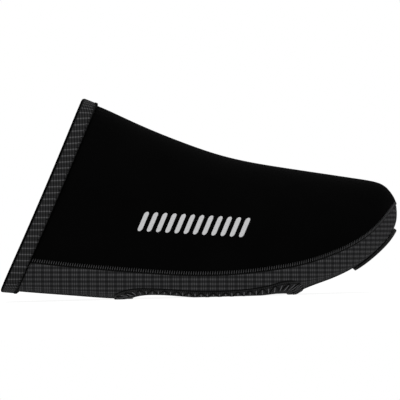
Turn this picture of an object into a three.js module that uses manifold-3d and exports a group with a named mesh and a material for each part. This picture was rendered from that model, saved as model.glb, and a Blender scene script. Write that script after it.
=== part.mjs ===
// Cycling toe cover for the right foot: a soft sleeve that pulls over the front half of a
// cycling shoe. Five sewn pieces: a smooth padded upper, a woven sole panel that wraps up the
// sides, a knitted binding round the cleat opening, a rubber patch under the toe, and a ribbed
// elastic cuff folded over the collar's edge.
// Millimetres. +X points to the toe, +Y to the inner side of the foot, +Z up from the floor.
import * as THREE from 'three';
import { mergeVertices } from 'three/addons/utils/BufferGeometryUtils.js';
import Module from 'manifold-3d';

// Driving sizes
const coverLength = 181; // back fold of the cuff to the nose of the toe
const coverHeight = 90; // floor to the top of the upper at the collar
const ballWidth = 104; // across the ball of the foot, outside
const collarLean = 24.6; // degrees that the collar's plane leans forwards
const collarFootShare = 0.5165; // where that plane meets the floor, back from the middle, in lengths
const collarBow = 0.8; // the collar's edge bends this far forwards at half height
const upperWall = 2.0; // padded laminate
const soleWall = 1.4; // coated woven cloth
const pieceGap = 0.3; // between sewn pieces that meet
const cuffWidth = 7.6;
const cuffLeg = 0.7; // thickness of the folded elastic
const cuffRound = 1.3; // radius of the fold's two corners
const bindingProud = 0.4; // how far the binding stands below the sole panel
const bindingWall = 2.2;
const patchThickness = 1.3;
const patchBevel = 1.2;

// Cleat opening in plan, and the width of the binding round it
const openingLength = 70.4;
const clothBeside = 16; // cloth left beside the opening, each side, at the ball
const openingCentre = 4.4;
const openingRound = 9;
const bindingBack = 7.8;
const bindingFront = 7.0;
const bindingSide = 8.4;

// Shape of the last. Each row is one station from the collar to the nose, at its place from 0 to
// 1. X columns are shares of the cover's length from its middle, Z columns shares of its height.
// outer, inner and ridge are shares of half the ball width, from the middle line: the two sides
// and the top of the instep. flat is the share of the half width that lies level underneath.
const columns = [
  'at', 'topX', 'topZ', 'seamX', 'seamZ', 'soleX', 'soleZ', 'outer', 'inner', 'ridge', 'flat',
];
const stations = [
  [0.00, -0.284, 1.013, -0.466, 0.213, -0.501, 0.063, 0.856, 0.798, 0.100, 0.30],
  [0.10, -0.222, 0.958, -0.372, 0.185, -0.403, 0.041, 0.896, 0.827, 0.120, 0.30],
  [0.20, -0.158, 0.895, -0.282, 0.162, -0.304, 0.021, 0.938, 0.869, 0.135, 0.30],
  [0.30, -0.096, 0.837, -0.195, 0.143, -0.200, 0.003, 0.979, 0.921, 0.130, 0.30],
  [0.39, -0.030, 0.781, -0.108, 0.125, -0.097, -0.004, 1.000, 0.969, 0.120, 0.10],
  [0.48, 0.050, 0.721, -0.011, 0.112, 0.008, -0.018, 1.000, 0.998, 0.110, 0.24],
  [0.58, 0.142, 0.672, 0.097, 0.113, 0.124, -0.018, 0.981, 1.000, 0.100, 0.26],
  [0.66, 0.225, 0.640, 0.188, 0.130, 0.217, -0.010, 0.933, 0.995, 0.105, 0.16],
  [0.70, 0.278, 0.621, 0.245, 0.147, 0.262, 0.027, 0.892, 0.982, 0.110, 0.22],
  [0.76, 0.349, 0.596, 0.327, 0.192, 0.328, 0.074, 0.777, 0.915, 0.115, 0.34],
  [0.82, 0.405, 0.576, 0.398, 0.254, 0.393, 0.135, 0.598, 0.783, 0.120, 0.44],
  [0.88, 0.455, 0.553, 0.452, 0.335, 0.449, 0.218, 0.373, 0.596, 0.125, 0.48],
  [0.94, 0.484, 0.508, 0.485, 0.410, 0.489, 0.312, 0.121, 0.375, 0.130, 0.50],
  [0.97, 0.495, 0.472, 0.495, 0.431, 0.499, 0.370, -0.008, 0.258, 0.133, 0.50],
  [1.00, 0.4995, 0.436, 0.4995, 0.436, 0.4995, 0.436, -0.135, 0.135, 0.135, 0.50],
];
const noseLean = 0.06; // slope of the nose's outline, from upright, where the seam meets it
const sideFullness = 0.54; // how upright the upper's sides are, 0.55 being a round
const crownFullness = 0.60; // how broad the upper's top is
const wallFullness = 0.60; // how upright the sole panel's sides are
const floorFullness = 0.62; // how far the sole panel stays flat towards its edge

const roundShare = 0.36; // share of the sole panel's mesh given to each rounded side

// Mesh
const rows = 24; // mesh rows from collar to nose
const upperColumns = 26; // mesh columns over the top
const soleColumns = 24; // mesh columns under the foot
const rowCrowding = 1.35; // above 1 crowds the mesh rows towards the nose

const wasm = await Module();
wasm.setup();

// A cubic spline through the points, free at its start, with the given slope at its end
function spline(xs, ys, endSlope) {
  const n = xs.length;
  const lower = new Array(n).fill(0);
  const main = new Array(n).fill(1);
  const upper = new Array(n).fill(0);
  const right = new Array(n).fill(0);
  for (let i = 1; i < n - 1; i++) {
    const back = xs[i] - xs[i - 1];
    const front = xs[i + 1] - xs[i];
    lower[i] = back;
    main[i] = 2 * (back + front);
    upper[i] = front;
    right[i] = 6 * ((ys[i + 1] - ys[i]) / front - (ys[i] - ys[i - 1]) / back);
  }
  const last = xs[n - 1] - xs[n - 2];
  lower[n - 1] = last;
  main[n - 1] = 2 * last;
  right[n - 1] = 6 * (endSlope - (ys[n - 1] - ys[n - 2]) / last);
  for (let i = 1; i < n; i++) {
    const factor = lower[i] / main[i - 1];
    main[i] -= factor * upper[i - 1];
    right[i] -= factor * right[i - 1];
  }
  const bend = new Array(n).fill(0);
  bend[n - 1] = right[n - 1] / main[n - 1];
  for (let i = n - 2; i >= 0; i--) bend[i] = (right[i] - upper[i] * bend[i + 1]) / main[i];
  return (x) => {
    let i = 0;
    while (i < n - 2 && x > xs[i + 1]) i++;
    const h = xs[i + 1] - xs[i];
    const a = (xs[i + 1] - x) / h;
    const b = (x - xs[i]) / h;
    return a * ys[i] + b * ys[i + 1] + ((a ** 3 - a) * bend[i] + (b ** 3 - b) * bend[i + 1]) * h * h / 6;
  };
}

const at = stations.map((row) => row[0]);
const column = (name, size) => stations.map((row) => row[columns.indexOf(name)] * size);
const endChord = (values) => (values.at(-1) - values.at(-2)) / (at.at(-1) - at.at(-2));

// Guide lines of the last. At the nose the top line runs on into the sole line, the seam turns
// back on itself, and the outer outline runs on into the inner one.
const topZ = column('topZ', coverHeight);
const soleZ = column('soleZ', coverHeight);
const outer = column('outer', ballWidth / 2);
const inner = column('inner', ballWidth / 2);
const sideSlope = (endChord(outer) + endChord(inner)) / 2;
const guide = {
  topX: spline(at, column('topX', coverLength), -noseLean * endChord(topZ)),
  topZ: spline(at, topZ, endChord(topZ)),
  seamX: spline(at, column('seamX', coverLength), 0),
  seamZ: spline(at, column('seamZ', coverHeight), 0),
  soleX: spline(at, column('soleX', coverLength), -noseLean * endChord(soleZ)),
  soleZ: spline(at, soleZ, endChord(soleZ)),
  outer: spline(at, outer, sideSlope),
  inner: spline(at, inner, sideSlope),
  ridge: spline(at, column('ridge', ballWidth / 2), 0),
  flat: spline(at, column('flat', 1), 0),
};

const bezier = (a, b, c, d, t) =>
  a * (1 - t) ** 3 + 3 * b * t * (1 - t) ** 2 + 3 * c * t * t * (1 - t) + d * t ** 3;

// The seam's up direction in side view: square to the seam line, and along the outline at the nose.
// It turns from one to the other in the last stretch before the nose.
const seamTurn = 8;
const noseShift = 16;
function seamUp(u) {
  const step = 0.002;
  const from = Math.max(0, u - step);
  const to = Math.min(1 - step, u + step);
  const dx = guide.seamX(to) - guide.seamX(from);
  const dz = guide.seamZ(to) - guide.seamZ(from);
  const square = new THREE.Vector2(-dz, dx).normalize();
  const nose = new THREE.Vector2(-noseLean, 1).normalize();
  return square.lerp(nose, u ** seamTurn).normalize();
}

// One quarter of a section: from the seam at t = 0, up or down to the section's far line at t = 1
function quarter(seam, far, edgeY, farY, wall, reach, t) {
  const rise = bezier(0, wall, 1, 1, t);
  const y = bezier(edgeY, edgeY, farY + reach * (edgeY - farY), farY, t);
  return new THREE.Vector3(
    seam.x + (far.x - seam.x) * rise,
    y,
    seam.y + (far.y - seam.y) * rise,
  );
}

// A point of the upper's outside: u from collar to nose, v from the outer seam over the top to the
// inner seam. lift moves its seam edge up from the seam line, and at the nose all of it.
function upperPoint(u, v, lift) {
  const up = seamUp(u).multiplyScalar(lift);
  const nose = seamUp(1).multiplyScalar(lift * u ** noseShift);
  const seam = new THREE.Vector2(guide.seamX(u), guide.seamZ(u)).add(up);
  const top = new THREE.Vector2(guide.topX(u), guide.topZ(u)).add(nose);
  const side = v < 0.5 ? -guide.outer(u) : guide.inner(u);
  const t = v < 0.5 ? 2 * v : 2 - 2 * v;
  return quarter(seam, top, side, guide.ridge(u), sideFullness, crownFullness, t);
}

// A point of the sole panel's outside: v from the outer seam under the foot to the inner seam
function solePoint(u, v, lift) {
  const down = seamUp(u).multiplyScalar(-lift);
  const nose = seamUp(1).multiplyScalar(-lift * u ** noseShift);
  const seam = new THREE.Vector2(guide.seamX(u), guide.seamZ(u)).add(down);
  const low = new THREE.Vector2(guide.soleX(u), guide.soleZ(u)).add(nose);
  const middle = (guide.inner(u) - guide.outer(u)) / 2;
  const half = (guide.inner(u) + guide.outer(u)) / 2;
  const flat = half * guide.flat(u);
  if (v > roundShare && v < 1 - roundShare) {
    const across = (v - roundShare) / (1 - 2 * roundShare) * 2 - 1;
    return new THREE.Vector3(low.x, middle + across * flat, low.y);
  }
  const sign = v < 0.5 ? -1 : 1;
  const t = (v < 0.5 ? v : 1 - v) / roundShare;
  return quarter(seam, low, middle + sign * half, middle + sign * flat, wallFullness, floorFullness, t);
}

// The outward direction at a point of a surface, from small steps along and across it. All the
// columns meet at the nose, so there it turns to the nose's own direction.
const noseNormal = new THREE.Vector3(1, 0, noseLean).normalize();
function normalAt(surface, u, v) {
  const nearNose = 0.996;
  const stepAlong = 0.003;
  const stepAcross = 0.004;
  const station = Math.min(u, nearNose);
  const along = surface(station + stepAlong, v).sub(surface(station - stepAlong, v));
  const from = surface(station, Math.max(0, v - stepAcross));
  const across = surface(station, Math.min(1, v + stepAcross)).sub(from);
  const normal = along.cross(across).normalize();
  const middle = (guide.inner(station) - guide.outer(station)) / 2;
  const centre = new THREE.Vector3(guide.seamX(station), middle, guide.seamZ(station));
  if (normal.dot(surface(station, v).sub(centre)) < 0) normal.negate();
  const nearness = Math.max(0, (u - nearNose) / (1 - nearNose));
  return normal.lerp(noseNormal, nearness).normalize();
}

// Collar plane: leans forwards, and depth is measured from it towards the toe
const lean = THREE.MathUtils.degToRad(collarLean);
function depthOf(point) {
  const level = 2 * point.z / coverHeight - 1;
  const bow = collarBow * (1 - level * level);
  const back = point.x + collarFootShare * coverLength;
  return back * Math.cos(lean) - point.z * Math.sin(lean) - bow;
}

// The place at an offset from a surface, outwards being positive
const placed = (surface, u, v, offset) =>
  surface(u, v).addScaledVector(normalAt(surface, u, v), offset);

// The station where column v, at that offset, lies so deep inside the collar, found by halving
function stationAtDepth(surface, v, offset, depth) {
  const halvings = 30;
  let low = -0.08;
  let high = 0.4;
  for (let i = 0; i < halvings; i++) {
    const mid = (low + high) / 2;
    if (depthOf(placed(surface, mid, v, offset)) < depth) low = mid;
    else high = mid;
  }
  return (low + high) / 2;
}

// A closed wall between two grids of points, one above the other. Each grid is [row][column],
// rows running to the toe and columns to the inner side; both have the same size.
function wallGeometry(above, below) {
  const points = [];
  const faces = [];
  const index = new Map();
  const id = (p) => {
    if (!index.has(p)) {
      index.set(p, points.length / 3);
      points.push(p.x, p.y, p.z);
    }
    return index.get(p);
  };
  const quad = (a, b, c, d) => {
    for (const [p, q, r] of [[a, b, c], [a, c, d]]) {
      if (p !== q && q !== r && r !== p) faces.push(id(p), id(q), id(r));
    }
  };
  const m = above.length - 1;
  const n = above[0].length - 1;
  for (let i = 0; i < m; i++) {
    for (let j = 0; j < n; j++) {
      quad(above[i][j], above[i + 1][j], above[i + 1][j + 1], above[i][j + 1]);
      quad(below[i][j], below[i][j + 1], below[i + 1][j + 1], below[i + 1][j]);
    }
    quad(above[i][0], below[i][0], below[i + 1][0], above[i + 1][0]);
    quad(above[i][n], above[i + 1][n], below[i + 1][n], below[i][n]);
  }
  for (let j = 0; j < n; j++) {
    quad(above[0][j], above[0][j + 1], below[0][j + 1], below[0][j]);
    quad(above[m][j], below[m][j], below[m][j + 1], above[m][j + 1]);
  }
  const geometry = new THREE.BufferGeometry();
  geometry.setAttribute('position', new THREE.Float32BufferAttribute(points, 3));
  geometry.setIndex(faces);
  return geometry;
}

// A wall of cloth on a surface of the last, from a depth behind the collar to the nose, between
// two offsets from the surface
function clothGeometry(surface, columnCount, backDepth, offsetAbove, offsetBelow) {
  const grid = (offset) => {
    const nose = placed(surface, 1, 0.5, offset);
    const starts = [];
    for (let j = 0; j <= columnCount; j++) {
      starts.push(stationAtDepth(surface, j / columnCount, offset, backDepth));
    }
    const made = [];
    for (let i = 0; i < rows; i++) {
      const share = 1 - (1 - i / rows) ** rowCrowding;
      made.push(starts.map((start, j) => {
        const u = start + (1 - start) * share;
        return placed(surface, u, j / columnCount, offset);
      }));
    }
    made.push(new Array(columnCount + 1).fill(nose));
    return made;
  };
  return wallGeometry(grid(offsetAbove), grid(offsetBelow));
}

function toSolid(geometry) {
  const bare = geometry.clone();
  bare.deleteAttribute('normal');
  bare.deleteAttribute('uv');
  const merged = mergeVertices(bare, 1e-4);
  const mesh = new wasm.Mesh({
    numProp: 3,
    vertProperties: new Float32Array(merged.attributes.position.array),
    triVerts: new Uint32Array(merged.index.array),
  });
  return new wasm.Manifold(mesh);
}

function toGeometry(solid) {
  const mesh = solid.getMesh();
  const positions = new Float32Array(mesh.numVert * 3);
  for (let i = 0; i < mesh.numVert; i++) {
    positions.set(mesh.vertProperties.subarray(i * mesh.numProp, i * mesh.numProp + 3), i * 3);
  }
  const geometry = new THREE.BufferGeometry();
  geometry.setAttribute('position', new THREE.BufferAttribute(positions, 3));
  geometry.setIndex(new THREE.BufferAttribute(new Uint32Array(mesh.triVerts), 1));
  return geometry;
}

// An upright prism with a rounded rectangle as its plan
function prism(back, front, halfWidth, radius, low, high) {
  const shape = new THREE.Shape();
  shape.moveTo(back + radius, -halfWidth);
  shape.lineTo(front - radius, -halfWidth);
  shape.absarc(front - radius, -halfWidth + radius, radius, -Math.PI / 2, 0);
  shape.lineTo(front, halfWidth - radius);
  shape.absarc(front - radius, halfWidth - radius, radius, 0, Math.PI / 2);
  shape.lineTo(back + radius, halfWidth);
  shape.absarc(back + radius, halfWidth - radius, radius, Math.PI / 2, Math.PI);
  shape.lineTo(back, -halfWidth + radius);
  shape.absarc(back + radius, -halfWidth + radius, radius, Math.PI, Math.PI * 1.5);
  const settings = { depth: high - low, bevelEnabled: false, curveSegments: 5 };
  const geometry = new THREE.ExtrudeGeometry(shape, settings);
  return toSolid(geometry.translate(0, 0, low));
}

const shellBack = cuffLeg + pieceGap; // the cloth's edge sits this deep inside the cuff's fold
const upperSurface = (u, v) => upperPoint(u, v, pieceGap / 2);
const soleSurface = (u, v) => solePoint(u, v, pieceGap / 2);

// Cleat opening: the sole panel stops at the binding, and the binding at the opening
const openingWidth = ballWidth - 2 * clothBeside;
const openingBack = openingCentre - openingLength / 2;
const openingFront = openingCentre + openingLength / 2;
const cutLow = -coverHeight / 4; // the upright cutters reach from here, under the floor,
const cutHigh = coverHeight / 5; // to here, over all of the binding
const bindingRound = openingRound + (bindingBack + bindingFront) / 4;
const openingCutter = prism(openingBack, openingFront, openingWidth / 2, openingRound, cutLow, cutHigh);
const bindingOutline = (spare) => prism(
  openingBack - bindingBack - spare,
  openingFront + bindingFront + spare,
  openingWidth / 2 + bindingSide + spare,
  bindingRound + spare,
  cutLow,
  cutHigh,
);

function makeUpper() {
  return clothGeometry(upperSurface, upperColumns, shellBack, 0, -upperWall);
}

function makeSole() {
  const panel = toSolid(clothGeometry(soleSurface, soleColumns, shellBack, -soleWall, 0));
  return toGeometry(panel.subtract(bindingOutline(pieceGap)));
}

// The binding is a frame of thicker cloth round the opening. The floor presses it flat at its
// back and front edges, and those two flats carry the cover.
function makeBinding() {
  const band = clothGeometry(soleSurface, soleColumns, shellBack, bindingProud - bindingWall, bindingProud);
  const frame = toSolid(band).intersect(bindingOutline(0)).subtract(openingCutter);
  const floor = new THREE.BoxGeometry(2 * coverLength, 2 * ballWidth, coverHeight);
  const below = toSolid(floor.translate(0, 0, -coverHeight / 2));
  return toGeometry(frame.subtract(below));
}

// The toe patch lies on the sole panel under the toe, with bevelled edges and rounded corners
const patchFromShare = 0.812; // station of its back end
const patchToShare = 0.945; // station of its front end
const spanShareBack = 0.150; // half its width, as a share of the section round the foot
const spanShareFront = 0.230;
const cornerShare = 0.22; // share of its length, and of its width, in which a corner rounds
function makeToePatch() {
  const lines = 10;
  const strips = 10;
  const grid = (offset, inset) => {
    const made = [];
    const alongPatch = soleSurface(patchToShare, 0.5).distanceTo(soleSurface(patchFromShare, 0.5));
    const insetShare = inset / alongPatch * (patchToShare - patchFromShare);
    const from = patchFromShare + insetShare;
    const to = patchToShare - insetShare;
    for (let i = 0; i <= lines; i++) {
      const share = (1 - Math.cos(Math.PI * i / lines)) / 2;
      const u = from + (to - from) * share;
      const end = Math.max(0, 1 - Math.min(share, 1 - share) / cornerShare);
      const corner = 1 - cornerShare * (1 - Math.sqrt(1 - end * end));
      const girth = 2 * (guide.inner(u) + guide.outer(u));
      const span = (spanShareBack + (spanShareFront - spanShareBack) * share) * corner - inset / girth;
      const line = [];
      for (let j = 0; j <= strips; j++) {
        const v = 0.5 + span * (2 * j / strips - 1);
        line.push(placed(soleSurface, u, v, offset));
      }
      made.push(line);
    }
    return made;
  };
  return wallGeometry(grid(pieceGap, 0), grid(pieceGap + patchThickness, patchBevel));
}

// The cuff: elastic folded over the collar's edge, a U in section, carried right round the collar.
// Its profile is depth from the collar plane and offset from the last, outer leg first.
function makeCuff() {
  const out = pieceGap + cuffLeg;
  const deep = -(upperWall + pieceGap + cuffLeg);
  const cornerSteps = 3;
  const profile = [[cuffWidth, pieceGap], [cuffWidth, out]];
  const corner = (centreDepth, centreOffset, startAngle) => {
    for (let k = 0; k <= cornerSteps; k++) {
      const a = startAngle + k / cornerSteps * Math.PI / 2;
      profile.push([centreDepth - cuffRound * Math.sin(a), centreOffset + cuffRound * Math.cos(a)]);
    }
  };
  corner(cuffRound, out - cuffRound, 0);
  corner(cuffRound, deep + cuffRound, Math.PI / 2);
  profile.push([cuffWidth, deep], [cuffWidth, deep + cuffLeg]);
  profile.push([cuffLeg, deep + cuffLeg], [cuffLeg, pieceGap]);
  const upperLine = (u, v) => upperPoint(u, v, 0);
  const soleLine = (u, v) => solePoint(u, v, 0);
  const loopAt = (surface, v) => profile.map(([depth, offset]) =>
    placed(surface, stationAtDepth(surface, v, offset, depth), v, offset));
  const ring = [];
  for (let j = 0; j <= upperColumns; j++) ring.push(loopAt(upperLine, j / upperColumns));
  for (let j = soleColumns - 1; j > 0; j--) ring.push(loopAt(soleLine, j / soleColumns));
  const count = ring.length;
  const around = profile.length;
  const points = ring.flat().flatMap((p) => [p.x, p.y, p.z]);
  const faces = [];
  for (let i = 0; i < count; i++) {
    const next = (i + 1) % count;
    for (let k = 0; k < around; k++) {
      const other = (k + 1) % around;
      const a = i * around + k;
      const b = next * around + k;
      const c = next * around + other;
      const d = i * around + other;
      faces.push(a, b, c, a, c, d);
    }
  }
  const geometry = new THREE.BufferGeometry();
  geometry.setAttribute('position', new THREE.Float32BufferAttribute(points, 3));
  geometry.setIndex(faces);
  return geometry;
}

const cover = new THREE.Group();
function addPiece(name, geometry, colour, roughness) {
  const material = new THREE.MeshStandardMaterial({ color: colour, roughness, metalness: 0 });
  geometry.computeVertexNormals();
  const mesh = new THREE.Mesh(geometry, material);
  mesh.name = name;
  cover.add(mesh);
}

addPiece('upper', makeUpper(), 0x060606, 0.9);
addPiece('sole', makeSole(), 0x2e2e2e, 0.85);
addPiece('cleat_binding', makeBinding(), 0x222222, 0.9);
addPiece('toe_patch', makeToePatch(), 0x0c0c0c, 0.6);
addPiece('cuff', makeCuff(), 0x262626, 0.9);

// The floor stays at Z = 0, and the cover's box is centred over the origin
const box = new THREE.Box3().setFromObject(cover);
cover.position.set(-(box.min.x + box.max.x) / 2, -(box.min.y + box.max.y) / 2, 0);

export default cover;
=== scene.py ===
# %% [markdown]
# # Dressing a cycling toe cover
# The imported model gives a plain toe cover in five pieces, standing on its two floor pads.
# Each piece is made again here as cloth or rubber, on the same last, so nothing needs fitting.
# A piece is a sheet of points worked out by numpy from a place along the foot, u, and a place
# round it, v. All lengths are in metres, +X is the toe, +Y the inner side of the foot.

# %% Load the frame
import math

import bpy
import numpy as np
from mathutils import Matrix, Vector


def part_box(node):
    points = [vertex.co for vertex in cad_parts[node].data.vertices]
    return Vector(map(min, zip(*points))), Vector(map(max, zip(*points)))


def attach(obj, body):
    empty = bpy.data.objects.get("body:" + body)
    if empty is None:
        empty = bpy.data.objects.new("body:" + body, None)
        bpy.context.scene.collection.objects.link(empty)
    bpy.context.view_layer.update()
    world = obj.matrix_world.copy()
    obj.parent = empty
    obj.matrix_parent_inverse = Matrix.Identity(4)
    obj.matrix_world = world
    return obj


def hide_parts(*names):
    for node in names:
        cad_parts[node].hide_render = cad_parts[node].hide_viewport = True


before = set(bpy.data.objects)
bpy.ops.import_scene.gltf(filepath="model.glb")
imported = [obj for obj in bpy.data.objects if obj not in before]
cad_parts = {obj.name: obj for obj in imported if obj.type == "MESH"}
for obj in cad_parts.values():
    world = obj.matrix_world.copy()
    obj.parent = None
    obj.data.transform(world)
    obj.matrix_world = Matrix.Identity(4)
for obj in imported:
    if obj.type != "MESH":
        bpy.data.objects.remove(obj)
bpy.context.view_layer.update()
MM = 0.001

# %% [markdown]
# ## The last
# A cover has the shape of the shoe inside it, and shoemakers write that shape down as sections
# of a last. The table has one row for each section, from the collar to the nose, with the same
# shares as the solid model. A curve through each column gives the shape at any place between.

# %% Sizes and sections
LENGTH, HEIGHT, BALL = 181 * MM, 90 * MM, 104 * MM
GAP = 0.3 * MM
UPPER_WALL, SOLE_WALL = 2.0 * MM, 1.4 * MM
COLUMNS = "at top_x top_z seam_x seam_z sole_x sole_z outer inner ridge flat".split()
SECTIONS = np.array([
    [0.00, -0.284, 1.013, -0.466, 0.213, -0.501, 0.063, 0.856, 0.798, 0.100, 0.30],
    [0.10, -0.222, 0.958, -0.372, 0.185, -0.403, 0.041, 0.896, 0.827, 0.120, 0.30],
    [0.20, -0.158, 0.895, -0.282, 0.162, -0.304, 0.021, 0.938, 0.869, 0.135, 0.30],
    [0.30, -0.096, 0.837, -0.195, 0.143, -0.200, 0.003, 0.979, 0.921, 0.130, 0.30],
    [0.39, -0.030, 0.781, -0.108, 0.125, -0.097, -0.004, 1.000, 0.969, 0.120, 0.10],
    [0.48, 0.050, 0.721, -0.011, 0.112, 0.008, -0.018, 1.000, 0.998, 0.110, 0.24],
    [0.58, 0.142, 0.672, 0.097, 0.113, 0.124, -0.018, 0.981, 1.000, 0.100, 0.26],
    [0.66, 0.225, 0.640, 0.188, 0.130, 0.217, -0.010, 0.933, 0.995, 0.105, 0.16],
    [0.70, 0.278, 0.621, 0.245, 0.147, 0.262, 0.027, 0.892, 0.982, 0.110, 0.22],
    [0.76, 0.349, 0.596, 0.327, 0.192, 0.328, 0.074, 0.777, 0.915, 0.115, 0.34],
    [0.82, 0.405, 0.576, 0.398, 0.254, 0.393, 0.135, 0.598, 0.783, 0.120, 0.44],
    [0.88, 0.455, 0.553, 0.452, 0.335, 0.449, 0.218, 0.373, 0.596, 0.125, 0.48],
    [0.94, 0.484, 0.508, 0.485, 0.410, 0.489, 0.312, 0.121, 0.375, 0.130, 0.50],
    [0.97, 0.495, 0.472, 0.495, 0.431, 0.499, 0.370, -0.008, 0.258, 0.133, 0.50],
    [1.00, 0.4995, 0.436, 0.4995, 0.436, 0.4995, 0.436, -0.135, 0.135, 0.135, 0.50],
])
AT = SECTIONS[:, 0]
NOSE_LEAN = 0.06
NOSE_UP = np.array([-NOSE_LEAN, 1.0]) / math.hypot(NOSE_LEAN, 1.0)
SIDE_FULLNESS, CROWN_FULLNESS = 0.54, 0.60
WALL_FULLNESS, FLOOR_FULLNESS = 0.60, 0.62
ROUND_SHARE = 0.36


def spline(ys, end_slope=0.0):
    """A curve through the sections: cubic pieces whose bend runs on from one to the next, with
    no bend at the collar and the given slope at the nose. The bends solve one linear system."""
    n = len(AT)
    h = np.diff(AT)
    chord = np.diff(ys) / h
    inner = np.arange(1, n - 1)
    system = np.zeros((n, n))
    system[0, 0] = 1
    system[inner, inner - 1] = h[:-1]
    system[inner, inner] = 2 * (h[:-1] + h[1:])
    system[inner, inner + 1] = h[1:]
    system[-1, -2:] = h[-1], 2 * h[-1]
    right = np.concatenate([[0], 6 * np.diff(chord), [6 * (end_slope - chord[-1])]])
    bend = np.linalg.solve(system, right)

    def at(u):
        k = np.clip(np.searchsorted(AT, u) - 1, 0, n - 2)
        a = (AT[k + 1] - u) / h[k]
        b = (u - AT[k]) / h[k]
        bent = (a**3 - a) * bend[k] + (b**3 - b) * bend[k + 1]
        return a * ys[k] + b * ys[k + 1] + bent * h[k]**2 / 6

    return at


def column(name, size=1.0):
    """One column of the table, times the size that it is a share of."""
    return SECTIONS[:, COLUMNS.index(name)] * size


def end_chord(ys):
    """The slope of the straight line between the last two sections."""
    return (ys[-1] - ys[-2]) / (AT[-1] - AT[-2])


top_z, sole_z = column("top_z", HEIGHT), column("sole_z", HEIGHT)
outer, inner = column("outer", BALL / 2), column("inner", BALL / 2)
side_slope = (end_chord(outer) + end_chord(inner)) / 2
GUIDE = {
    "top_x": spline(column("top_x", LENGTH), -NOSE_LEAN * end_chord(top_z)),
    "top_z": spline(top_z, end_chord(top_z)),
    "seam_x": spline(column("seam_x", LENGTH)),
    "seam_z": spline(column("seam_z", HEIGHT)),
    "sole_x": spline(column("sole_x", LENGTH), -NOSE_LEAN * end_chord(sole_z)),
    "sole_z": spline(sole_z, end_chord(sole_z)),
    "outer": spline(outer, side_slope),
    "inner": spline(inner, side_slope),
    "ridge": spline(column("ridge", BALL / 2)),
    "flat": spline(column("flat")),
}
print("sections:", len(SECTIONS), "ball width, mm:", round(BALL / MM))

# %% [markdown]
# ## Two surfaces: over the foot and under it
# Each half of a section is one Bezier arc from the seam to the top of the instep, or from the
# seam to the level stretch underneath. An arc needs only four points, so a section keeps its
# fullness when the last gets longer or wider.

# %% Arcs and directions


def bezier(a, b, c, d, t):
    """Point t of the arc with end points a and d and handles b and c."""
    return a * (1 - t)**3 + 3 * b * t * (1 - t)**2 + 3 * c * t * t * (1 - t) + d * t**3


def unit(v):
    """A direction of length 1: the vector divided by its length."""
    return v / np.linalg.norm(v, axis=-1, keepdims=True)


def side_view(kind, u):
    """The x and z of the top, the seam or the sole at a place u along the foot."""
    return np.stack([GUIDE[kind + "_x"](u), GUIDE[kind + "_z"](u)], -1)


def seam_up(u):
    """The direction square to the seam in side view: its slope turned by a right angle, blended
    by the share u^8 with the nose's own direction."""
    step = 0.002
    middle = np.clip(u, step, 1 - 2 * step)
    dx, dz = np.moveaxis(side_view("seam", middle + step) - side_view("seam", middle - step), -1, 0)
    share = np.clip(u, 0, 1)[..., None]**8
    return unit(unit(np.stack([-dz, dx], -1)) * (1 - share) + NOSE_UP * share)


def arc(seam, far, edge_y, far_y, wall, reach, t):
    """One arc of a section. It rises from the seam's height to the far height by a Bezier of
    0, wall, 1, 1, while y goes from the edge to far_y and stays out by the share reach."""
    rise = bezier(0, wall, 1, 1, t)[..., None]
    y = bezier(edge_y, edge_y, far_y + reach * (edge_y - far_y), far_y, t)
    place = seam + (far - seam) * rise
    return np.stack([place[..., 0], y, place[..., 1]], -1)


def seam_and_far(u, kind, lift):
    """The seam point and the far point of each section in side view. Half the seam's gap lifts
    the first, and the second too where both meet at the nose, by the share u^16."""
    nose = NOSE_UP * lift * np.clip(u, 0, 1)[..., None]**16
    return side_view("seam", u) + seam_up(u) * lift, side_view(kind, u) + nose


print("the seam starts", np.round(side_view("seam", 0) / MM, 1), "and ends",
      np.round(side_view("seam", 1) / MM, 1), "mm")

# %% Surfaces of the last


def over(u, v):
    """The upper's outside: v = 0 at the outer seam, 1/2 on the instep's ridge, 1 at the inner."""
    u, v = np.broadcast_arrays(np.asarray(u, float), np.asarray(v, float))
    seam, far = seam_and_far(u, "top", GAP / 2)
    side = np.where(v < 0.5, -GUIDE["outer"](u), GUIDE["inner"](u))
    t = np.where(v < 0.5, 2 * v, 2 - 2 * v)
    return arc(seam, far, side, GUIDE["ridge"](u), SIDE_FULLNESS, CROWN_FULLNESS, t) + SHIFT


def under(u, v):
    """The sole panel's outside: v = 0 at the outer seam, level near 1/2, 1 at the inner seam."""
    u, v = np.broadcast_arrays(np.asarray(u, float), np.asarray(v, float))
    seam, far = seam_and_far(u, "sole", -GAP / 2)
    middle = (GUIDE["inner"](u) - GUIDE["outer"](u)) / 2
    half = (GUIDE["inner"](u) + GUIDE["outer"](u)) / 2
    flat = half * GUIDE["flat"](u)
    sign = np.where(v < 0.5, -1.0, 1.0)
    t = np.clip(np.minimum(v, 1 - v) / ROUND_SHARE, 0, 1)
    edge_y, far_y = middle + sign * half, middle + sign * flat
    place = arc(seam, far, edge_y, far_y, WALL_FULLNESS, FLOOR_FULLNESS, t)
    level = (v > ROUND_SHARE) & (v < 1 - ROUND_SHARE)
    across = (v - ROUND_SHARE) / (1 - 2 * ROUND_SHARE) * 2 - 1
    place[..., 1] = np.where(level, middle + across * flat, place[..., 1])
    return place + SHIFT


SHIFT = np.zeros(3)
trial = over(*np.meshgrid(np.linspace(0.2, 1, 60), np.linspace(0, 1, 60), indexing="ij"))
low, high = (np.array(corner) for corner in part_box("upper"))
nose, sides = trial[..., 0].max(), trial[..., 1]
SHIFT = np.array([high[0] - nose, (low[1] + high[1]) / 2 - sides.min() / 2 - sides.max() / 2, 0])
print("the frame is centred by", np.round(SHIFT / MM, 2), "mm")

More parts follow.
